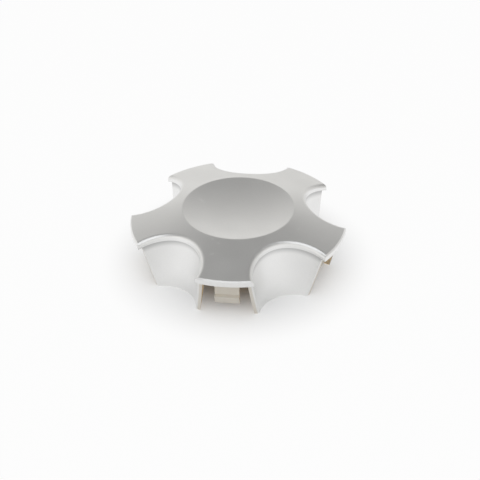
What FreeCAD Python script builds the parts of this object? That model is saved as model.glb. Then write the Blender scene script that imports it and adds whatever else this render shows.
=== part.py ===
"""Five-armed wheel centre cap, moulded in one piece.

A dished face slopes down to five arms. Between the arms are tapered pockets that go round the
wheel nuts. The arms are hollow and open at their ends, and each holds a snap tab.
Frame: +Z up along the wheel axis, Z = 0 at the foot of the pocket walls, first arm along -Y.
"""
import FreeCAD
import Part
import math
import os

# Pattern of arms and pockets
ARM_COUNT = 5
FIRST_ARM_ANGLE = -90.0
NUT_CIRCLE_RADIUS = 57.15

# Face: a dish inside a raised crest, then a straight slope out to the arm tips
CREST_BAND = 7.45
CREST_HEIGHT = 32.5
CREST_FLAT = 0.4
DISH_DEPTH = 2.9
TIP_INSET = 0.95
TIP_FALL = 6.1
FACE_THICKNESS = 2.4

# Edge of the face, deeper than the face itself
LIP_DEPTH = 3.2
TIP_LIP_WIDTH = 1.6
TIP_BEVEL = 0.6
POCKET_ROUND = 2.3

# Pockets round the wheel nuts
POCKET_LIP_RADIUS = 20.7
POCKET_FOOT_RADIUS = 17.4
LIP_OVERHANG = 0.3
WALL_THICKNESS = 2.4
WALL_END_SETBACK = 2.6
WALL_END_LEAN = 12.5

# Snap tabs in the open ends of the arms
TAB_SETBACK = 10.2
TAB_WIDTH = 12.4
TAB_THICKNESS = 1.8
TAB_LENGTH = 18.2
TAB_END_THICKNESS = 1.2
CATCH_RISE = 5.0
CATCH_DEPTH = 1.4
CATCH_SLOPE = 0.6
GUSSET_THICKNESS = 1.4
GUSSET_SPACING = 8.0
GUSSET_REACH = 6.0
GUSSET_LENGTH = 8.0

# Ribs under the face: a ring under the dish and a web out to each pocket wall
RING_SETBACK = 8.0
RIB_THICKNESS = 1.4
RIB_DEPTH = 4.0

# Round pads in the arms where the moulding is pushed off its core
PAD_RADIUS = 2.5
PAD_STAND = 0.4
PAD_GAP = 1.9

# Heights and slopes that follow from the sizes above
ARM_PITCH = 360.0 / ARM_COUNT
TIP_RADIUS = NUT_CIRCLE_RADIUS - TIP_INSET
CREST_RADIUS = NUT_CIRCLE_RADIUS - POCKET_LIP_RADIUS - CREST_BAND
TIP_HEIGHT = CREST_HEIGHT - TIP_FALL
DISH_CENTRE_HEIGHT = CREST_HEIGHT - DISH_DEPTH
DISH_ARC_RADIUS = (CREST_RADIUS ** 2 + DISH_DEPTH ** 2) / (2 * DISH_DEPTH)
DISH_SLOPE = CREST_RADIUS / (DISH_ARC_RADIUS - DISH_DEPTH)
FACE_SLOPE = TIP_FALL / (TIP_RADIUS - CREST_RADIUS)
CREST_EASE = CREST_FLAT / (1 / FACE_SLOPE + 1 / DISH_SLOPE)
TIP_LIP_HEIGHT = TIP_HEIGHT - LIP_DEPTH
POCKET_TAPER = (POCKET_LIP_RADIUS + LIP_OVERHANG - POCKET_FOOT_RADIUS) / TIP_LIP_HEIGHT
WALL_END_TAPER = math.tan(math.radians(WALL_END_LEAN))
WALL_END_FOOT_RADIUS = TIP_RADIUS - WALL_END_SETBACK - TIP_LIP_HEIGHT * WALL_END_TAPER
TAB_RADIUS = TIP_RADIUS - TAB_SETBACK
TAB_FOOT_HEIGHT = TIP_LIP_HEIGHT - TAB_LENGTH
RING_RADIUS = CREST_RADIUS - RING_SETBACK
PAD_CIRCLE_RADIUS = TAB_RADIUS - TAB_THICKNESS - GUSSET_REACH - PAD_GAP - PAD_RADIUS

# Margins for cuts and for picking edges
CUT_CLEARANCE = 5.0
EDGE_TOLERANCE = 0.01

AXIS = FreeCAD.Vector(0, 0, 1)
ORIGIN = FreeCAD.Vector(0, 0, 0)


def section_point(radius, height):
    """Return a point of the radial plane through +X."""
    return FreeCAD.Vector(radius, 0, height)


def face_height(radius):
    """Return the height of the sloping face outside the crest."""
    return CREST_HEIGHT - (radius - CREST_RADIUS) * FACE_SLOPE


def polygon(points):
    """Return a closed face with straight sides in the radial plane through +X."""
    corners = [section_point(radius, height) for radius, height in points]
    return Part.Face(Part.makePolygon(corners + corners[:1]))


def turned(face):
    """Return the solid made by turning a radial section once round the axis."""
    return face.revolve(ORIGIN, AXIS, 360)


def patterned(shape, first_angle):
    """Return copies of a shape made along +X, one for each arm or pocket."""
    copies = []
    for index in range(ARM_COUNT):
        copy = shape.copy()
        copy.rotate(ORIGIN, AXIS, first_angle + index * ARM_PITCH)
        copies.append(copy)
    return copies


def around_arms(shape):
    """Return a copy of a shape on the middle line of every arm."""
    return patterned(shape, FIRST_ARM_ANGLE)


def around_pockets(shape):
    """Return a copy of a shape on the middle line of every pocket."""
    return patterned(shape, FIRST_ARM_ANGLE + ARM_PITCH / 2)


def under_face(depth, rim, floor):
    """Return the turned solid from a level floor up to a given depth below the face.

    The rim lists the outer corners of its section from the floor upwards. The crest has a
    narrow flat, and the dish is the hollow left by a large ball.
    """
    crest = CREST_HEIGHT - CREST_EASE - depth
    flat_edge = (CREST_RADIUS + CREST_EASE / FACE_SLOPE, crest)
    solid = turned(polygon([(0, floor), (rim[0][0], floor)] + rim + [flat_edge, (0, crest)]))
    ball_height = DISH_CENTRE_HEIGHT + DISH_ARC_RADIUS - depth
    ball = Part.makeSphere(DISH_ARC_RADIUS, section_point(0, ball_height), FreeCAD.Vector(1, 0, 0))
    return solid.cut(ball)


def sharp_rim(radius, depth):
    """Return the rim of a section that ends in one corner at a given depth below the face."""
    return [(radius, face_height(radius) - depth)]


def bevelled_rim():
    """Return the rim of the outer form, with its bevel at the arm tips."""
    return [(TIP_RADIUS, TIP_HEIGHT - TIP_BEVEL)] + sharp_rim(TIP_RADIUS - TIP_BEVEL, 0)


def pocket_cone(growth):
    """Return the tapered space round a wheel nut, grown by a wall thickness."""
    low = -CUT_CLEARANCE
    high = CREST_HEIGHT + CUT_CLEARANCE
    return Part.makeCone(
        POCKET_FOOT_RADIUS + growth + low * POCKET_TAPER,
        POCKET_FOOT_RADIUS + growth + high * POCKET_TAPER,
        high - low,
        section_point(NUT_CIRCLE_RADIUS, low),
        AXIS,
    )


def pocket_mouth():
    """Return the upright cylinder that cuts the face round a wheel nut."""
    return Part.makeCylinder(
        POCKET_LIP_RADIUS,
        CREST_HEIGHT + CUT_CLEARANCE,
        section_point(NUT_CIRCLE_RADIUS, 0),
        AXIS,
    )


def is_pocket_edge(edge):
    """Say whether an edge of the star runs along the top of a pocket's mouth."""
    middle = edge.valueAt((edge.FirstParameter + edge.LastParameter) / 2)
    radius = math.hypot(middle.x, middle.y)
    return radius < TIP_RADIUS and abs(middle.z - face_height(radius)) < EDGE_TOLERANCE


def face_star():
    """Return the star-shaped face as a plate of the lip's depth, with its edges rounded."""
    reach = TIP_RADIUS + POCKET_ROUND
    disc = under_face(0, sharp_rim(reach, 0), TIP_LIP_HEIGHT - 2 * CUT_CLEARANCE)
    below = under_face(LIP_DEPTH, sharp_rim(reach + CUT_CLEARANCE, LIP_DEPTH), -CUT_CLEARANCE)
    star = disc.cut(below).cut(around_pockets(pocket_mouth()))
    star = star.makeFillet(POCKET_ROUND, [edge for edge in star.Edges if is_pocket_edge(edge)])
    return star.common(under_face(-CUT_CLEARANCE, bevelled_rim(), TIP_LIP_HEIGHT - CUT_CLEARANCE))


def skirt_block():
    """Return the solid outline of the arms below the face, trimmed at the leaning wall ends."""
    high = CREST_HEIGHT
    wall_ends = Part.makeCone(
        WALL_END_FOOT_RADIUS,
        WALL_END_FOOT_RADIUS + high * WALL_END_TAPER,
        high,
        ORIGIN,
        AXIS,
    )
    block = wall_ends.common(under_face(FACE_THICKNESS, sharp_rim(TIP_RADIUS, FACE_THICKNESS), 0))
    return block.cut(around_pockets(pocket_cone(0)))


def core():
    """Return the hollow inside the cap, which runs out through the open arm ends."""
    rim = sharp_rim(TIP_RADIUS - TIP_LIP_WIDTH, FACE_THICKNESS)
    space = under_face(FACE_THICKNESS, rim, -CUT_CLEARANCE)
    return space.cut(around_pockets(pocket_cone(WALL_THICKNESS)))


def snap_tab():
    """Return one snap tab on +X, with a catch near its foot that hooks outwards."""
    outer = TAB_RADIUS
    inner = outer - TAB_THICKNESS
    root = face_height(outer) - FACE_THICKNESS / 2
    foot = TAB_FOOT_HEIGHT
    catch = foot + CATCH_RISE
    section = polygon([
        (inner, root),
        (outer, root),
        (outer, catch + CATCH_DEPTH * CATCH_SLOPE),
        (outer + CATCH_DEPTH, catch),
        (inner + TAB_END_THICKNESS, foot),
        (inner, foot),
    ])
    section.translate(FreeCAD.Vector(0, -TAB_WIDTH / 2, 0))
    return section.extrude(FreeCAD.Vector(0, TAB_WIDTH, 0))


def gusset(offset):
    """Return one triangular gusset that braces the back of a tab against the face."""
    back = TAB_RADIUS - TAB_THICKNESS
    root = face_height(TAB_RADIUS) - FACE_THICKNESS / 2
    section = polygon([
        (back, root),
        (back, root - GUSSET_LENGTH),
        (back - GUSSET_REACH, root),
    ])
    section.translate(FreeCAD.Vector(0, offset - GUSSET_THICKNESS / 2, 0))
    return section.extrude(FreeCAD.Vector(0, GUSSET_THICKNESS, 0))


def braced_tab():
    """Return a snap tab with a gusset near each side."""
    half = GUSSET_SPACING / 2
    return snap_tab().fuse([gusset(-half), gusset(half)])


def rib_layer():
    """Return the layer below the face in which the ribs stand."""
    root = FACE_THICKNESS / 2
    foot = FACE_THICKNESS + RIB_DEPTH
    layer = under_face(root, sharp_rim(TIP_RADIUS, root), -CUT_CLEARANCE)
    return layer.cut(under_face(foot, sharp_rim(TIP_RADIUS + CUT_CLEARANCE, foot), -2 * CUT_CLEARANCE))


def ribs():
    """Return the stiffening ring and the webs that tie it to the pocket walls."""
    tall = CREST_HEIGHT
    ring = Part.makeCylinder(RING_RADIUS + RIB_THICKNESS / 2, tall)
    ring = ring.cut(Part.makeCylinder(RING_RADIUS - RIB_THICKNESS / 2, tall))
    pocket_wall = NUT_CIRCLE_RADIUS - POCKET_LIP_RADIUS - WALL_THICKNESS
    web = Part.makeBox(
        pocket_wall - RING_RADIUS,
        RIB_THICKNESS,
        tall,
        FreeCAD.Vector(RING_RADIUS, -RIB_THICKNESS / 2, 0),
    )
    return ring.fuse(around_pockets(web)).common(rib_layer())


def ejector_pad():
    """Return one flat round pad under the face, on the middle line of the arm along +X."""
    foot = face_height(PAD_CIRCLE_RADIUS + PAD_RADIUS) - FACE_THICKNESS - PAD_STAND
    root = face_height(PAD_CIRCLE_RADIUS + PAD_RADIUS) - FACE_THICKNESS / 2
    return Part.makeCylinder(PAD_RADIUS, root - foot, section_point(PAD_CIRCLE_RADIUS, foot), AXIS)


def centre_cap():
    """Return the whole moulding."""
    shell = face_star().fuse(skirt_block()).cut(core())
    inside = [ribs()] + around_arms(braced_tab()) + around_arms(ejector_pad())
    return shell.fuse(inside).removeSplitter()


def main():
    """Build the cap and write it to its own file."""
    os.makedirs("parts", exist_ok=True)
    cap = centre_cap()
    cap.exportStep(os.path.join("parts", "centre_cap.step"))
    box = cap.optimalBoundingBox()
    print("centre_cap", cap.isValid(), len(cap.Solids), "volume", round(cap.Volume, 1))
    print("box", round(box.XLength, 2), round(box.YLength, 2), round(box.ZLength, 2))


main()
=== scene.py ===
"""Looks of a five-armed wheel centre cap: satin silver paint outside, bare moulded plastic inside.

The cap stands on a white floor under soft light. Lengths are in metres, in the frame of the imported
part: +Z runs out through the dished face, and -Y along the middle of the front arm.
"""

import logging
import math
from dataclasses import dataclass
from enum import Enum

import bpy
from mathutils import Matrix, Vector


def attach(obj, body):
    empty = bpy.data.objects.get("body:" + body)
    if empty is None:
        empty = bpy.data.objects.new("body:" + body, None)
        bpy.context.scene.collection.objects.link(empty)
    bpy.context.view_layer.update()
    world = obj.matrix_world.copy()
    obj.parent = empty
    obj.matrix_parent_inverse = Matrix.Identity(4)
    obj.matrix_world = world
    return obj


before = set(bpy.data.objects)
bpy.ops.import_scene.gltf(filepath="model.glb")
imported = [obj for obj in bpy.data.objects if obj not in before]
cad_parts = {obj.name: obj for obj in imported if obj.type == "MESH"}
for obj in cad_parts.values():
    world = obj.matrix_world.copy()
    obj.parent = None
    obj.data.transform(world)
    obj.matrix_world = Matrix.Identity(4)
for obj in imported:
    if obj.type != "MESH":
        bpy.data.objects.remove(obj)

LOG = logging.getLogger("centre_cap")
MM = 0.001
IMAGE_SIDE = 480

# Octaves of the fine and the broad noise, and the part of the broad noise that the mottle spreads out
FINE_DETAIL = 2.0
BROAD_DETAIL = 3.0
MOTTLE_RANGE = (0.3, 0.7)
NOISE_MIDDLE = 0.5

# Places of the colour sockets on a Mix node
MIX_FACTOR, MIX_FIRST, MIX_SECOND, MIX_RESULT = 0, 6, 7, 2

Colour = tuple[float, float, float, float]
Socket = bpy.types.NodeSocket
Value = Socket | float | tuple[float, ...]

WHITE: Colour = (1.0, 1.0, 1.0, 1.0)


class Tree(Enum):
    """Kinds of node tree that the scene builds."""

    SHADER = "ShaderNodeTree"
    GEOMETRY = "GeometryNodeTree"


class Ray(Enum):
    """What the floor asks about the ray that meets it."""

    CAMERA = "Is Camera Ray"
    GLOSSY = "Is Glossy Ray"
    TRANSMISSION = "Is Transmission Ray"
    LENGTH = "Ray Length"


class Graph:
    """A node tree with short calls to add, set and link its nodes."""

    def __init__(self, tree: bpy.types.NodeTree) -> None:
        """Wrap a node tree.

        Args:
            tree: The tree that the nodes go into.
        """
        self.tree = tree
        self.entry: bpy.types.bpy_prop_collection | None = None
        self.exit: bpy.types.bpy_prop_collection | None = None

    @classmethod
    def group(
        cls, name: str, kind: Tree, inputs: dict[str, tuple], outputs: dict[str, str],
    ) -> "Graph":
        """Make a node group with named sockets.

        Args:
            name: Name of the group.
            kind: Kind of tree.
            inputs: Socket type and default of each named input, with None for no default.
            outputs: Socket type of each named output.

        Returns:
            The graph of the new group, with its group input and output nodes in place.
        """
        tree = bpy.data.node_groups.new(name, kind.value)
        for label, (socket_type, default) in inputs.items():
            socket = tree.interface.new_socket(label, in_out="INPUT", socket_type=socket_type)
            if default is not None:
                socket.default_value = default
        for label, socket_type in outputs.items():
            tree.interface.new_socket(label, in_out="OUTPUT", socket_type=socket_type)
        graph = cls(tree)
        graph.entry = graph.add("NodeGroupInput").outputs
        graph.exit = graph.add("NodeGroupOutput").inputs
        return graph

    @classmethod
    def material(cls, name: str) -> tuple["Graph", bpy.types.Material, bpy.types.Node]:
        """Make an empty material with a Principled shader on its output.

        Args:
            name: Name of the material.

        Returns:
            The material's graph, the material and its Principled node.
        """
        material = bpy.data.materials.new(name)
        material.use_nodes = True
        material.node_tree.nodes.clear()
        graph = cls(material.node_tree)
        shader = graph.add("ShaderNodeBsdfPrincipled")
        output = graph.add("ShaderNodeOutputMaterial")
        graph.link(shader.outputs["BSDF"], output.inputs["Surface"])
        return graph, material, shader

    def add(self, kind: str, **settings: object) -> bpy.types.Node:
        """Add a node and set its properties.

        Args:
            kind: Blender's name of the node type.
            settings: Properties of the node.

        Returns:
            The new node.
        """
        node = self.tree.nodes.new(kind)
        for name, value in settings.items():
            setattr(node, name, value)
        return node

    def link(self, source: Value, target: Socket) -> None:
        """Join an output to an input, or set the input to a constant.

        Args:
            source: A socket, a number or a tuple of numbers.
            target: The input that takes it.
        """
        if isinstance(source, bpy.types.NodeSocket):
            self.tree.links.new(source, target)
        else:
            target.default_value = source

    def call(
        self, kind: str, inputs: dict[str | int, object], **settings: object,
    ) -> bpy.types.Node:
        """Add a node and fill its inputs.

        Args:
            kind: Blender's name of the node type.
            inputs: Socket or constant for each input, by its name or its place.
            settings: Properties of the node.

        Returns:
            The new node.
        """
        node = self.add(kind, **settings)
        for name, source in inputs.items():
            self.link(source, node.inputs[name])
        return node

    def math(self, operation: str, *values: Value) -> Socket:
        """Add a Math node.

        Args:
            operation: The node's operation.
            values: Its inputs in order.

        Returns:
            The result socket.
        """
        node = self.add("ShaderNodeMath", operation=operation)
        for value, target in zip(values, node.inputs):
            self.link(value, target)
        return node.outputs[0]

    def hypot(self, first: Value, second: Value) -> Socket:
        """Add nodes for the distance over two sides at a right angle.

        Args:
            first: One side.
            second: The other side.

        Returns:
            The distance.
        """
        first_square = self.math("MULTIPLY", first, first)
        second_square = self.math("MULTIPLY", second, second)
        return self.math("SQRT", self.math("ADD", first_square, second_square))

    def length(self, vector: Socket) -> Socket:
        """Add a node for the length of a vector."""
        node = self.call("ShaderNodeVectorMath", {"Vector": vector}, operation="LENGTH")
        return node.outputs["Value"]

    def noise(self, where: Socket, scale: Value, detail: float) -> Socket:
        """Add a noise texture.

        Args:
            where: Coordinates that it reads.
            scale: Waves in each metre.
            detail: Octaves of the noise.

        Returns:
            The noise, from 0 to 1.
        """
        node = self.call("ShaderNodeTexNoise", {"Vector": where, "Scale": scale, "Detail": detail})
        return node.outputs["Fac"]

    def ramp(
        self, value: Value, low: Value, high: Value, start: Value = 0.0, end: Value = 1.0,
    ) -> Socket:
        """Add a smooth step from one value to another.

        Args:
            value: What the step depends on.
            low: Where the step starts.
            high: Where it ends.
            start: Result below the step.
            end: Result above the step.

        Returns:
            The result socket.
        """
        node = self.add("ShaderNodeMapRange", interpolation_type="SMOOTHSTEP")
        for source, target in zip((value, low, high, start, end), node.inputs):
            self.link(source, target)
        return node.outputs[0]

    def mix(self, factor: Value, first: object, second: object) -> Socket:
        """Add a colour mix.

        Args:
            factor: Share of the second colour.
            first: Colour at factor 0.
            second: Colour at factor 1.

        Returns:
            The mixed colour.
        """
        node = self.add("ShaderNodeMix", data_type="RGBA")
        self.link(factor, node.inputs[MIX_FACTOR])
        self.link(first, node.inputs[MIX_FIRST])
        self.link(second, node.inputs[MIX_SECOND])
        return node.outputs[MIX_RESULT]

    def use(self, group: "Graph", **inputs: object) -> dict[str, Socket]:
        """Place a node group.

        Args:
            group: Graph of the group.
            inputs: Socket or constant for inputs, with _ for a space in the name.

        Returns:
            The outputs by name.
        """
        node = self.add("ShaderNodeGroup", node_tree=group.tree)
        for name, source in inputs.items():
            self.link(source, node.inputs[name.replace("_", " ")])
        return {socket.name: socket for socket in node.outputs}


@dataclass(frozen=True)
class CapForm:
    """Sizes of the cap that the paint and the mould marks follow."""

    arms: int = 5
    first_arm_angle: float = -90.0
    nut_circle: float = 57.15 * MM
    crest_band: float = 7.45 * MM
    crest_height: float = 32.5 * MM
    dish_depth: float = 2.9 * MM
    tip_inset: float = 0.95 * MM
    tip_fall: float = 6.1 * MM
    face: float = 2.4 * MM
    lip_depth: float = 3.2 * MM
    lip_overhang: float = 0.3 * MM
    pocket_lip: float = 20.7 * MM
    pocket_foot: float = 17.4 * MM
    wall_end_setback: float = 2.6 * MM
    wall_end_lean: float = 12.5
    tab_setback: float = 10.2 * MM
    tab_thickness: float = 1.8 * MM
    gusset_reach: float = 6.0 * MM
    pad_gap: float = 1.9 * MM
    pad_radius: float = 2.5 * MM
    pad_stand: float = 0.4 * MM

    @property
    def tip_radius(self) -> float:
        """Distance from the axis to the arm tips."""
        return self.nut_circle - self.tip_inset

    @property
    def crest_radius(self) -> float:
        """Distance from the axis to the rim of the dish."""
        return self.nut_circle - self.pocket_lip - self.crest_band

    @property
    def lip_height(self) -> float:
        """Height of the lip's underside at the arm tips."""
        return self.crest_height - self.tip_fall - self.lip_depth

    @property
    def pocket_taper(self) -> float:
        """Growth of a pocket's radius for each metre upwards."""
        return (self.pocket_lip + self.lip_overhang - self.pocket_foot) / self.lip_height

    @property
    def wall_end_taper(self) -> float:
        """Outward lean of the wall ends for each metre upwards."""
        return math.tan(math.radians(self.wall_end_lean))

    @property
    def wall_end_foot(self) -> float:
        """Distance from the axis to the foot of the wall ends."""
        return self.tip_radius - self.wall_end_setback - self.lip_height * self.wall_end_taper

    @property
    def tab_radius(self) -> float:
        """Distance from the axis to the outer face of the tabs."""
        return self.tip_radius - self.tab_setback

    @property
    def pad_circle(self) -> float:
        """Distance from the axis to the middle of the ejector pads."""
        gusset_end = self.tab_radius - self.tab_thickness - self.gusset_reach
        return gusset_end - self.pad_gap - self.pad_radius

    @property
    def slope(self) -> float:
        """Fall of the face for each metre outwards."""
        return self.tip_fall / (self.tip_radius - self.crest_radius)

    @property
    def half_pitch(self) -> float:
        """Half the angle from one arm to the next, in radians."""
        return math.pi / self.arms

    def face_height(self, radius: float) -> float:
        """Return the height of the sloping face at a radius."""
        return self.crest_height - (radius - self.crest_radius) * self.slope


@dataclass(frozen=True)
class Scuff:
    """A dull rub in the paint, placed as seen from above, with its angle in degrees from +X."""

    x: float
    y: float
    length: float
    width: float
    angle: float
    depth: float


@dataclass(frozen=True)
class SilverPaint:
    """Satin silver paint, fine flake under a soft clear layer."""

    colour: Colour = (0.925, 0.924, 0.917, 1.0)
    shade: Colour = (0.855, 0.854, 0.847, 1.0)
    # painted shade: the dark colour the paint takes on the pocket walls just under the lip
    painted_lip_shade: Colour = (0.20, 0.20, 0.20, 1.0)
    metallic: float = 0.85
    roughness: float = 0.29
    roughness_spread: float = 0.06
    flake_size: float = 0.16 * MM
    flake_height: float = 0.0018 * MM
    flake_mottle: float = 14.0 * MM
    flake_share: float = 0.7
    peel_size: float = 1.1 * MM
    peel_height: float = 0.006 * MM
    peel_mottle: float = 30.0 * MM
    peel_share: float = 0.3
    worn: Colour = (0.99, 0.99, 0.985, 1.0)
    scuff_rough: float = 0.55
    scuffs: tuple[Scuff, ...] = (
        Scuff(x=32.6 * MM, y=-14.3 * MM, length=5.0 * MM, width=1.4 * MM, angle=61.0, depth=0.55),
        Scuff(x=-5.6 * MM, y=-32.1 * MM, length=2.6 * MM, width=1.4 * MM, angle=-39.0, depth=0.5),
        Scuff(x=-9.1 * MM, y=-29.4 * MM, length=2.1 * MM, width=1.3 * MM, angle=-37.0, depth=0.4),
        Scuff(x=-20.3 * MM, y=6.4 * MM, length=7.8 * MM, width=2.4 * MM, angle=-44.0, depth=0.5),
        Scuff(x=-8.0 * MM, y=-39.2 * MM, length=4.5 * MM, width=1.3 * MM, angle=37.0, depth=0.35),
    )


@dataclass(frozen=True)
class BarePlastic:
    """Unpainted tan plastic with a fine moulded grain, paler towards the arm mouths and on the wall ends,
    partly where paint mist has settled and partly as painted light where light falls in.
    """

    colour: Colour = (0.90, 0.72, 0.47, 1.0)
    shade: Colour = (0.84, 0.64, 0.39, 1.0)
    # paler bare plastic: partly paint mist, partly painted light near the lit arm mouths and wall ends
    misted_and_lit: Colour = (0.78, 0.74, 0.67, 1.0)
    roughness: float = 0.52
    roughness_spread: float = 0.10
    grain_size: float = 0.35 * MM
    grain_height: float = 0.010 * MM
    flow_size: float = 9.0 * MM


@dataclass(frozen=True)
class Overspray:
    """How far the paint runs over edges and into the open arm ends, with the painted shade under the
    pockets' lip and the paler, partly painted-light, bare plastic near the arm mouths.
    """

    face_full: float = 1.1 * MM
    face_none: float = 1.9 * MM
    wall_full: float = 0.5 * MM
    wall_none: float = 1.3 * MM
    end_reach: float = 0.7 * MM
    end_share: float = 0.15
    # paler bare plastic towards the arm mouths, away from the pocket walls: partly paint mist, partly
    # painted light
    mist_and_light_start: float = 36.0 * MM
    mist_and_light_gap: float = 2.8 * MM
    mist_and_light_full: float = 4.6 * MM
    # painted shade: a darker band on the pocket walls just under the lip, by depth below the face, and its
    # strength
    lip_shade_start: float = 2.9 * MM
    lip_shade_full: float = 3.3 * MM
    lip_shade_fade: float = 7.0 * MM
    lip_shade_strength: float = 0.5
    edge_wander: float = 0.5 * MM
    wander_size: float = 2.5 * MM


class SurfaceEffects:
    """Shader node groups that the cap's materials share."""

    def __init__(self, form: CapForm, overspray: Overspray) -> None:
        """Build the groups.

        Args:
            form: Sizes of the cap.
            overspray: How the paint ends.
        """
        self.form = form
        self.overspray = overspray
        self.speckle = self._speckle()
        self.paint_reach = self._paint_reach()

    @staticmethod
    def _speckle() -> Graph:
        """Build the group for fine relief and mottling of a set size.

        Returns:
            The group, with a Height in metres, and a broad Mottle and a fine Cell tone from 0 to 1.
        """
        graph = Graph.group(
            "surface_speckle",
            Tree.SHADER,
            {
                "Size": ("NodeSocketFloat", None),
                "Relief": ("NodeSocketFloat", None),
                "Mottle Size": ("NodeSocketFloat", None),
            },
            {"Height": "NodeSocketFloat", "Mottle": "NodeSocketFloat", "Cell": "NodeSocketFloat"},
        )
        where = graph.add("ShaderNodeTexCoord").outputs["Object"]
        fine_scale = graph.math("DIVIDE", 1.0, graph.entry["Size"])
        broad_scale = graph.math("DIVIDE", 1.0, graph.entry["Mottle Size"])
        fine = graph.noise(where, fine_scale, FINE_DETAIL)
        broad = graph.noise(where, broad_scale, BROAD_DETAIL)
        cells = graph.call("ShaderNodeTexVoronoi", {"Vector": where, "Scale": fine_scale})
        cell_colour = graph.call("ShaderNodeSeparateColor", {"Color": cells.outputs["Color"]})
        cell_tone = cell_colour.outputs["Red"]
        graph.link(graph.math("MULTIPLY", fine, graph.entry["Relief"]), graph.exit["Height"])
        graph.link(graph.ramp(broad, *MOTTLE_RANGE), graph.exit["Mottle"])
        graph.link(cell_tone, graph.exit["Cell"])
        return graph

    def _paint_reach(self) -> Graph:
        """Build the group that says how much of a place is painted.

        The angle round the axis is folded into half the pitch from a pocket to an arm, so one pocket
        and one arm stand for all.

        Returns:
            The group, with Paint from 0, bare, to 1, covered, a pale share from 0, clean, to 1, pale,
            which is partly paint mist and partly painted light towards the lit arm mouths and wall ends,
            and the share of painted shade that darkens the wall just under the pockets' lip.
        """
        form, spray = self.form, self.overspray
        graph = Graph.group(
            "paint_reach",
            Tree.SHADER,
            {"Wander": ("NodeSocketFloat", spray.edge_wander)},
            {"Paint": "NodeSocketFloat", "Mist And Light": "NodeSocketFloat", "Painted Lip Shade": "NodeSocketFloat"},
        )
        where = graph.add("ShaderNodeTexCoord").outputs["Object"]
        parts = graph.call("ShaderNodeSeparateXYZ", {"Vector": where}).outputs
        radius = graph.hypot(parts["X"], parts["Y"])
        height = parts["Z"]
        noise = graph.noise(where, 1.0 / spray.wander_size, BROAD_DETAIL)
        swing = graph.math("SUBTRACT", noise, NOISE_MIDDLE)
        stray = graph.math("MULTIPLY", swing, graph.entry["Wander"])

        face = self._below_face(graph, radius, height)
        face_stray = graph.math("ADD", face, stray)
        face_paint = graph.ramp(face_stray, spray.face_full, spray.face_none, 1.0, 0.0)
        wall = self._behind_wall(graph, parts, radius, height)
        wall_stray = graph.math("ADD", wall, stray)
        wall_paint = graph.ramp(wall_stray, spray.wall_full, spray.wall_none, 1.0, 0.0)
        tip_edge = form.tip_radius - spray.end_reach
        tip_paint = graph.ramp(graph.math("ADD", radius, stray), tip_edge, form.tip_radius)
        end_foot = form.wall_end_foot - spray.end_reach
        end = graph.math("MULTIPLY_ADD", height, form.wall_end_taper, end_foot)
        past_end = graph.math("ADD", graph.math("SUBTRACT", radius, end), stray)
        at_end = graph.ramp(past_end, 0.0, spray.end_reach)
        end_paint = graph.math("MULTIPLY", at_end, spray.end_share)
        # paler bare plastic towards the arm mouths: partly paint mist, partly painted light where light
        # falls in
        drift_and_light = graph.math(
            "MULTIPLY",
            graph.ramp(radius, spray.mist_and_light_start, form.tab_radius),
            graph.ramp(wall, spray.mist_and_light_gap, spray.mist_and_light_full),
        )

        paint = graph.math("MAXIMUM", face_paint, wall_paint)
        for other in (tip_paint, end_paint):
            paint = graph.math("MAXIMUM", paint, other)
        # painted shade under the pockets' lip, strongest just below the lip and fading further down
        painted_lip_shade = graph.math(
            "MULTIPLY",
            graph.ramp(face, spray.lip_shade_start, spray.lip_shade_full),
            graph.ramp(face, spray.lip_shade_full, spray.lip_shade_fade, spray.lip_shade_strength, 0.0),
        )
        graph.link(paint, graph.exit["Paint"])
        graph.link(graph.math("MAXIMUM", at_end, drift_and_light), graph.exit["Mist And Light"])
        graph.link(graph.math("MULTIPLY", painted_lip_shade, wall_paint), graph.exit["Painted Lip Shade"])
        return graph

    def _below_face(self, graph: Graph, radius: Socket, height: Socket) -> Socket:
        """Add nodes for the depth below the outer face.

        Args:
            graph: Graph that the nodes go into.
            radius: Distance from the axis.
            height: Height above the foot.

        Returns:
            The depth in metres.
        """
        form = self.form
        ratio = graph.math("DIVIDE", radius, form.crest_radius)
        bowl = graph.math("MULTIPLY", graph.math("MULTIPLY", ratio, ratio), form.dish_depth)
        dish = graph.math("ADD", bowl, form.crest_height - form.dish_depth)
        arm = graph.math("MULTIPLY_ADD", radius, -form.slope, form.face_height(0.0))
        return graph.math("SUBTRACT", graph.math("MINIMUM", dish, arm), height)

    def _behind_wall(self, graph: Graph, parts: object, radius: Socket, height: Socket) -> Socket:
        """Add nodes for the distance behind the nearest pocket wall.

        Args:
            graph: Graph that the nodes go into.
            parts: The place's separate coordinates.
            radius: Distance from the axis.
            height: Height above the foot.

        Returns:
            The distance in metres, below 0 in the pocket.
        """
        form = self.form
        angle = graph.math("ARCTAN2", parts["Y"], parts["X"])
        first_pocket = math.radians(form.first_arm_angle) + form.half_pitch
        turned = graph.math("SUBTRACT", angle, first_pocket)
        folded = graph.math("PINGPONG", turned, form.half_pitch)
        along = graph.math("MULTIPLY", radius, graph.math("COSINE", folded))
        aside = graph.math("MULTIPLY", radius, graph.math("SINE", folded))
        ahead = graph.math("SUBTRACT", along, form.nut_circle)
        from_nut = graph.hypot(ahead, aside)
        wall = graph.math("MULTIPLY_ADD", height, form.pocket_taper, form.pocket_foot)
        return graph.math("SUBTRACT", from_nut, wall)


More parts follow.
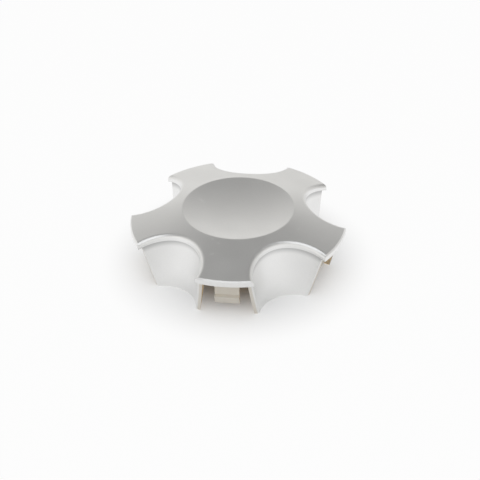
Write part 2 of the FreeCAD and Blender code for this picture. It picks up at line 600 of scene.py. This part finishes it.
class Finishes:
    """Materials of the cap."""

    def __init__(self, effects: SurfaceEffects, paint: SilverPaint, plastic: BarePlastic) -> None:
        """Build the materials.

        Args:
            effects: Shared node groups.
            paint: The paint outside.
            plastic: The plastic inside.
        """
        self.effects = effects
        self.paint = paint
        self.plastic = plastic
        self.skin = self._skin()
        self.bare = self._bare()

    def _plastic_look(self, graph: Graph) -> tuple[Socket, Socket, Socket]:
        """Add the bare plastic's colour, roughness and relief to a graph.

        Args:
            graph: Graph of a material.

        Returns:
            Colour, roughness and height sockets.
        """
        look = self.plastic
        grain = graph.use(
            self.effects.speckle,
            Size=look.grain_size,
            Relief=look.grain_height,
            Mottle_Size=look.flow_size,
        )
        colour = graph.mix(grain["Mottle"], look.colour, look.shade)
        rough = graph.math("MULTIPLY_ADD", grain["Mottle"], look.roughness_spread, look.roughness)
        return colour, rough, grain["Height"]

    def _paint_look(self, graph: Graph) -> tuple[Socket, Socket, Socket]:
        """Add the silver paint's colour, roughness and relief to a graph.

        Args:
            graph: Graph of a material.

        Returns:
            Colour, roughness and height sockets.
        """
        look = self.paint
        flake = graph.use(
            self.effects.speckle,
            Size=look.flake_size,
            Relief=look.flake_height,
            Mottle_Size=look.flake_mottle,
        )
        peel = graph.use(
            self.effects.speckle,
            Size=look.peel_size,
            Relief=look.peel_height,
            Mottle_Size=look.peel_mottle,
        )
        broad_tone = graph.math("MULTIPLY", peel["Mottle"], look.peel_share)
        tone = graph.math("MULTIPLY_ADD", flake["Cell"], look.flake_share, broad_tone)
        colour = graph.mix(tone, look.colour, look.shade)
        rough = graph.math("MULTIPLY_ADD", flake["Mottle"], look.roughness_spread, look.roughness)
        height = graph.math("ADD", flake["Height"], peel["Height"])
        return colour, rough, height

    def _skin(self) -> bpy.types.Material:
        """Build the material of the whole moulding, painted where the spray reaches.

        Returns:
            The material.
        """
        graph, material, shader = Graph.material("silver_paint_on_plastic")
        reach = graph.use(self.effects.paint_reach)
        painted = reach["Paint"]
        paint_colour, paint_rough, paint_height = self._paint_look(graph)
        bare_colour, bare_rough, bare_height = self._plastic_look(graph)
        # painted shade: darker paint on the pocket walls just under the lip
        paint_colour = graph.mix(reach["Painted Lip Shade"], paint_colour, self.paint.painted_lip_shade)
        worn = self._scuffs(graph)
        paint_colour = graph.mix(worn, paint_colour, self.paint.worn)
        paint_rough = graph.math("MULTIPLY_ADD", worn, self.paint.scuff_rough, paint_rough)
        # the bare plastic pales towards the arm mouths and on the wall ends: partly paint mist, partly
        # painted light
        bare_colour = graph.mix(reach["Mist And Light"], bare_colour, self.plastic.misted_and_lit)
        colour = graph.mix(painted, bare_colour, paint_colour)
        rough = graph.ramp(painted, 0.0, 1.0, bare_rough, paint_rough)
        height = graph.ramp(painted, 0.0, 1.0, bare_height, paint_height)
        self._relief(graph, shader, height)
        graph.link(colour, shader.inputs["Base Color"])
        graph.link(rough, shader.inputs["Roughness"])
        graph.link(graph.math("MULTIPLY", painted, self.paint.metallic), shader.inputs["Metallic"])
        return material

    def _scuffs(self, graph: Graph) -> Socket:
        """Add nodes for the rubs in the paint.

        Args:
            graph: Graph of the material.

        Returns:
            How dull the paint is, from 0 to 1.
        """
        where = graph.add("ShaderNodeTexCoord").outputs["Object"]
        worn = 0.0
        for scuff in self.paint.scuffs:
            local = graph.call("ShaderNodeMapping", {
                "Vector": where,
                "Location": (scuff.x, scuff.y, 0.0),
                "Rotation": (0.0, 0.0, math.radians(scuff.angle)),
                "Scale": (scuff.length / 2, scuff.width / 2, 1.0),
            }, vector_type="TEXTURE")
            away = graph.length(local.outputs["Vector"])
            worn = graph.math("MAXIMUM", worn, graph.ramp(away, 0.0, 1.0, scuff.depth, 0.0))
        return worn

    def _bare(self) -> bpy.types.Material:
        """Build the material of small marks on the bare inside.

        Returns:
            The material.
        """
        graph, material, shader = Graph.material("bare_plastic")
        colour, rough, height = self._plastic_look(graph)
        self._relief(graph, shader, height)
        graph.link(colour, shader.inputs["Base Color"])
        graph.link(rough, shader.inputs["Roughness"])
        return material

    @staticmethod
    def _relief(graph: Graph, shader: bpy.types.Node, height: Socket) -> None:
        """Turn a height in metres into the shader's normal.

        Args:
            graph: Graph of the material.
            shader: Its Principled node.
            height: The height.
        """
        bump = graph.call("ShaderNodeBump", {"Height": height, "Distance": 1.0, "Strength": 1.0})
        graph.link(bump.outputs["Normal"], shader.inputs["Normal"])


@dataclass
class MouldMarks:
    """Raised witness rings that the ejector pins leave on the round pads inside the arms."""

    form: CapForm
    ring_share: float = 0.72
    wire: float = 0.14 * MM
    ring_steps: int = 40
    wire_steps: int = 8

    def _tree(self, material: bpy.types.Material) -> bpy.types.NodeTree:
        """Build the node tree that sets one ring on the pad of each arm.

        Args:
            material: Finish of the rings.

        Returns:
            The tree.
        """
        graph = Graph.group(
            "pin_witness_rings",
            Tree.GEOMETRY,
            {
                "Arms": ("NodeSocketInt", self.form.arms),
                "Circle Radius": ("NodeSocketFloat", self.form.pad_circle),
                "Ring Radius": ("NodeSocketFloat", self.form.pad_radius),
                "Wire Radius": ("NodeSocketFloat", self.wire),
                "Height": ("NodeSocketFloat", 0.0),
            },
            {"Geometry": "NodeSocketGeometry"},
        )
        places = graph.call("GeometryNodeMeshCircle", {
            "Vertices": graph.entry["Arms"], "Radius": graph.entry["Circle Radius"],
        })
        first_arm = math.radians(self.form.first_arm_angle)
        up = graph.call("ShaderNodeCombineXYZ", {"Z": graph.entry["Height"]})
        placed = graph.call("GeometryNodeTransform", {
            "Geometry": places.outputs["Mesh"],
            "Translation": up.outputs["Vector"],
            "Rotation": (0.0, 0.0, first_arm),
        })
        ring = graph.call("GeometryNodeCurvePrimitiveCircle", {
            "Resolution": self.ring_steps, "Radius": graph.entry["Ring Radius"],
        })
        wire = graph.call("GeometryNodeCurvePrimitiveCircle", {
            "Resolution": self.wire_steps, "Radius": graph.entry["Wire Radius"],
        })
        swept = graph.call("GeometryNodeCurveToMesh", {
            "Curve": ring.outputs["Curve"], "Profile Curve": wire.outputs["Curve"],
        })
        rings = graph.call("GeometryNodeInstanceOnPoints", {
            "Points": placed.outputs["Geometry"], "Instance": swept.outputs["Mesh"],
        })
        real = graph.call("GeometryNodeRealizeInstances", {"Geometry": rings.outputs["Instances"]})
        smooth = graph.call("GeometryNodeSetShadeSmooth", {"Geometry": real.outputs["Geometry"]})
        dressed = graph.call("GeometryNodeSetMaterial", {
            "Geometry": smooth.outputs["Geometry"], "Material": material,
        })
        graph.link(dressed.outputs["Geometry"], graph.exit["Geometry"])
        return graph.tree

    def build(self, material: bpy.types.Material) -> bpy.types.Object:
        """Make the rings as one plain mesh.

        Args:
            material: Finish of the rings.

        Returns:
            The finished piece.
        """
        form = self.form
        face_above = form.face_height(form.pad_circle + form.pad_radius)
        foot = face_above - form.face - form.pad_stand
        sizes = {"Ring Radius": form.pad_radius * self.ring_share, "Height": foot}
        return baked_nodes("pin_witness_rings", self._tree(material), sizes)


def baked_nodes(name: str, tree: bpy.types.NodeTree, sizes: dict[str, float]) -> bpy.types.Object:
    """Run a geometry node tree and keep its result as a plain mesh.

    Args:
        name: Name of the piece.
        tree: The tree.
        sizes: Values for named inputs.

    Returns:
        The piece, with no modifier left.
    """
    piece = bpy.data.objects.new(name, bpy.data.meshes.new(name))
    bpy.context.scene.collection.objects.link(piece)
    modifier = piece.modifiers.new(name, "NODES")
    modifier.node_group = tree
    inputs = [item for item in tree.interface.items_tree if item.in_out == "INPUT"]
    sockets = {item.name: item.identifier for item in inputs}
    for label, value in sizes.items():
        modifier[sockets[label]] = value
    depsgraph = bpy.context.evaluated_depsgraph_get()
    mesh = bpy.data.meshes.new_from_object(piece.evaluated_get(depsgraph))
    piece.modifiers.remove(modifier)
    piece.data = mesh
    mesh.name = name
    return piece


@dataclass
class CentreCap:
    """The moulding, which keeps its CAD mesh, and the small marks on its inside."""

    form: CapForm
    finishes: Finishes
    node: str = "centre_cap"
    body: str = "root"
    paint_slot: str = "silver_paint"

    def dress(self) -> bpy.types.Object:
        """Give the moulding its finish.

        Returns:
            The CAD object.
        """
        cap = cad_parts[self.node]
        cap.data.materials.clear()
        cap.data.materials.append(self.finishes.skin)
        finish = self.finishes.skin.name
        LOG.info("%s: %d faces, dressed in %s", cap.name, len(cap.data.polygons), finish)
        return cap

    def build_marks(self) -> bpy.types.Object:
        """Add the witness rings inside the arms.

        Returns:
            The piece.
        """
        rings = MouldMarks(self.form).build(self.finishes.bare)
        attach(rings, self.body)
        LOG.info("%s: %d faces", rings.name, len(rings.data.polygons))
        return rings


def toward(azimuth: float, elevation: float) -> Vector:
    """Find the direction from the cap to a place round it.

    Args:
        azimuth: Degrees from the front, growing to the right.
        elevation: Degrees above the floor.

    Returns:
        The direction, one unit long.
    """
    turn, rise = math.radians(azimuth), math.radians(elevation)
    flat = math.cos(rise)
    return Vector((math.sin(turn) * flat, -math.cos(turn) * flat, math.sin(rise)))


@dataclass(frozen=True)
class CameraView:
    """Camera at the viewing angle of the photograph.

    The angles are in degrees, the lens and the sensor in millimetres, and origin_pixel is where the
    frame's origin stands in the picture, from its top left corner.
    """

    distance: float = 0.5871
    azimuth: float = 7.83
    elevation: float = 36.11
    roll: float = 0.96
    lens: float = 82.35
    sensor: float = 36.0
    origin_pixel: tuple[float, float] = (239.08, 257.7)

    def build(self) -> bpy.types.Object:
        """Make the camera and give it to the scene.

        Returns:
            The camera object.
        """
        back = toward(self.azimuth, self.elevation)
        data = bpy.data.cameras.new("camera")
        data.lens = self.lens
        data.sensor_width = self.sensor
        data.shift_x = 0.5 - self.origin_pixel[0] / IMAGE_SIDE
        data.shift_y = self.origin_pixel[1] / IMAGE_SIDE - 0.5
        camera = bpy.data.objects.new("camera", data)
        turn = back.to_track_quat("Z", "Y").to_matrix().to_4x4()
        tilt = Matrix.Rotation(math.radians(-self.roll), 4, "Z")
        camera.matrix_world = Matrix.Translation(back * self.distance) @ turn @ tilt
        bpy.context.scene.collection.objects.link(camera)
        bpy.context.scene.camera = camera
        return camera


@dataclass(frozen=True)
class SoftLamp:
    """A square lamp that points at the cap, with its angles in degrees."""

    name: str
    azimuth: float
    elevation: float
    distance: float
    side: float
    radiance: float
    colour: tuple[float, float, float] = (0.975, 0.99, 1.0)

    def build(self) -> bpy.types.Object:
        """Make the lamp.

        Returns:
            The lamp object.
        """
        data = bpy.data.lights.new(self.name, "AREA")
        data.shape = "SQUARE"
        data.size = self.side
        data.color = self.colour
        data.energy = self.radiance * math.pi * self.side ** 2
        lamp = bpy.data.objects.new(self.name, data)
        back = toward(self.azimuth, self.elevation)
        turn = back.to_track_quat("Z", "Y").to_matrix().to_4x4()
        lamp.matrix_world = Matrix.Translation(back * self.distance) @ turn
        bpy.context.scene.collection.objects.link(lamp)
        return lamp


@dataclass
class Studio:
    """White floor, soft room light and camera.

    The floor glows for the rays that see it, from none at glow_start from the axis to floor_glow at
    glow_full. What the cap mirrors of it is dimmer to the front and back, by mirror_front. The room
    fades from sky_low to sky_high over the heights in sky_turn, grows to the left by sky_side and to
    the front by sky_front, and softbox_cover of it is hidden behind the softbox. softbox_edge holds
    the cosines of the angles from the lamp at which that hiding starts and is full.
    """

    floor_side: float = 30.0
    floor_colour: Colour = (0.92, 0.92, 0.92, 1.0)
    floor_roughness: float = 0.9
    floor_specular: float = 0.1
    floor_glow: float = 0.95
    glow_start: float = 23 * MM
    glow_full: float = 76 * MM
    mirror_front: float = 0.55
    mirror_turn: tuple[float, float] = (0.25, 0.85)
    contact_gap: float = 0.5 * MM
    sky_low: float = 0.80
    sky_high: float = 0.258
    sky_turn: tuple[float, float] = (0.24, 0.86)
    sky_side: float = 0.09
    sky_front: float = 1.24
    sky_colour: Colour = (1.0, 0.99, 0.965, 1.0)
    softbox: SoftLamp = SoftLamp(
        "softbox", azimuth=5.0, elevation=66.0, distance=1.5, side=1.7, radiance=1.08,
    )
    softbox_edge: tuple[float, float] = (0.64, 0.9)
    softbox_cover: float = 0.9

    def build(self) -> None:
        """Make the floor, the light and the camera."""
        bpy.context.scene.view_settings.view_transform = "Standard"
        self._floor()
        self._world()
        self.softbox.build()
        CameraView().build()

    def _floor(self) -> bpy.types.Object:
        """Make the floor.

        Returns:
            The floor object.
        """
        half = self.floor_side / 2
        mesh = bpy.data.meshes.new("floor")
        corners = [(-half, -half, 0.0), (half, -half, 0.0), (half, half, 0.0), (-half, half, 0.0)]
        mesh.from_pydata(corners, [], [(0, 1, 2, 3)])
        floor = bpy.data.objects.new("floor", mesh)
        floor.data.materials.append(self._floor_material())
        bpy.context.scene.collection.objects.link(floor)
        return floor

    def _floor_material(self) -> bpy.types.Material:
        """Build the floor's white, which is clear from below and to rays from a face that rests on it.

        Returns:
            The material.
        """
        graph, material, shader = Graph.material("white_floor")
        shader.inputs["Roughness"].default_value = self.floor_roughness
        shader.inputs["Specular IOR Level"].default_value = self.floor_specular
        shader.inputs["Base Color"].default_value = self.floor_colour
        rays = graph.add("ShaderNodeLightPath").outputs
        share = self._glow_share(graph, rays)
        glow = graph.call("ShaderNodeEmission", {"Color": WHITE, "Strength": 1.0})
        top = self._mix_shaders(graph, share, shader.outputs["BSDF"], glow.outputs["Emission"])
        below = graph.add("ShaderNodeNewGeometry").outputs["Backfacing"]
        touching = graph.math("LESS_THAN", rays[Ray.LENGTH.value], self.contact_gap)
        clear = graph.math("MAXIMUM", below, touching)
        through = graph.add("ShaderNodeBsdfTransparent").outputs["BSDF"]
        output = next(node for node in graph.tree.nodes if node.type == "OUTPUT_MATERIAL")
        graph.link(self._mix_shaders(graph, clear, top, through), output.inputs["Surface"])
        return material

    def _glow_share(self, graph: Graph, rays: bpy.types.bpy_prop_collection) -> Socket:
        """Add nodes for how much of the floor's light is glow.

        Args:
            graph: Graph of the floor's material.
            rays: Outputs of its Light Path node.

        Returns:
            The share, which is 0 for rays that neither see nor mirror the floor.
        """
        where = graph.add("ShaderNodeTexCoord").outputs["Object"]
        away = graph.length(where)
        open_floor = graph.ramp(away, self.glow_start, self.glow_full, 0.0, self.floor_glow)
        across = graph.call("ShaderNodeSeparateXYZ", {"Vector": where}).outputs["X"]
        sideways = graph.math("DIVIDE", graph.math("ABSOLUTE", across), away)
        dimmed = graph.ramp(sideways, *self.mirror_turn, self.mirror_front, 1.0)
        mirrored = graph.math("MAXIMUM", rays[Ray.GLOSSY.value], rays[Ray.TRANSMISSION.value])
        mirrored = graph.math("MULTIPLY", mirrored, dimmed)
        seen = graph.math("MAXIMUM", rays[Ray.CAMERA.value], mirrored)
        return graph.math("MULTIPLY", seen, open_floor)

    @staticmethod
    def _mix_shaders(graph: Graph, share: Socket, first: Socket, second: Socket) -> Socket:
        """Mix two shaders.

        Args:
            graph: Graph that the node goes into.
            share: Share of the second shader.
            first: Shader at share 0.
            second: Shader at share 1.

        Returns:
            The mixed shader.
        """
        mixed = graph.add("ShaderNodeMixShader")
        for source, target in zip((share, first, second), mixed.inputs):
            graph.link(source, target)
        return mixed.outputs["Shader"]

    def _world(self) -> None:
        """Build the room's light: pale low down, left and in front, and dark above and behind the lamp."""
        world = bpy.data.worlds.new("room")
        world.use_nodes = True
        world.node_tree.nodes.clear()
        graph = Graph(world.node_tree)
        where = graph.add("ShaderNodeTexCoord").outputs["Generated"]
        parts = graph.call("ShaderNodeSeparateXYZ", {"Vector": where}).outputs
        level = graph.ramp(parts["Z"], *self.sky_turn, self.sky_low, self.sky_high)
        level = graph.math("MULTIPLY_ADD", parts["X"], -self.sky_side, level)
        front = graph.ramp(parts["Y"], -1.0, 0.0, self.sky_front, 1.0)
        lamp = toward(self.softbox.azimuth, self.softbox.elevation)
        facing = graph.call(
            "ShaderNodeVectorMath", {0: where, 1: lamp}, operation="DOT_PRODUCT",
        ).outputs["Value"]
        behind = graph.ramp(facing, *self.softbox_edge, 1.0, 1.0 - self.softbox_cover)
        level = graph.math("MULTIPLY", graph.math("MULTIPLY", level, front), behind)
        room = graph.call("ShaderNodeBackground", {"Color": self.sky_colour, "Strength": level})
        output = graph.add("ShaderNodeOutputWorld")
        graph.link(room.outputs["Background"], output.inputs["Surface"])
        bpy.context.scene.world = world


def main() -> None:
    """Dress the cap and set the studio round it."""
    logging.basicConfig(level=logging.INFO, format="%(name)s: %(message)s")
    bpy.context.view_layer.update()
    form = CapForm()
    finishes = Finishes(SurfaceEffects(form, Overspray()), SilverPaint(), BarePlastic())
    cap = CentreCap(form, finishes)
    cap.dress()
    cap.build_marks()
    Studio().build()


if __name__ == "__main__":
    main()
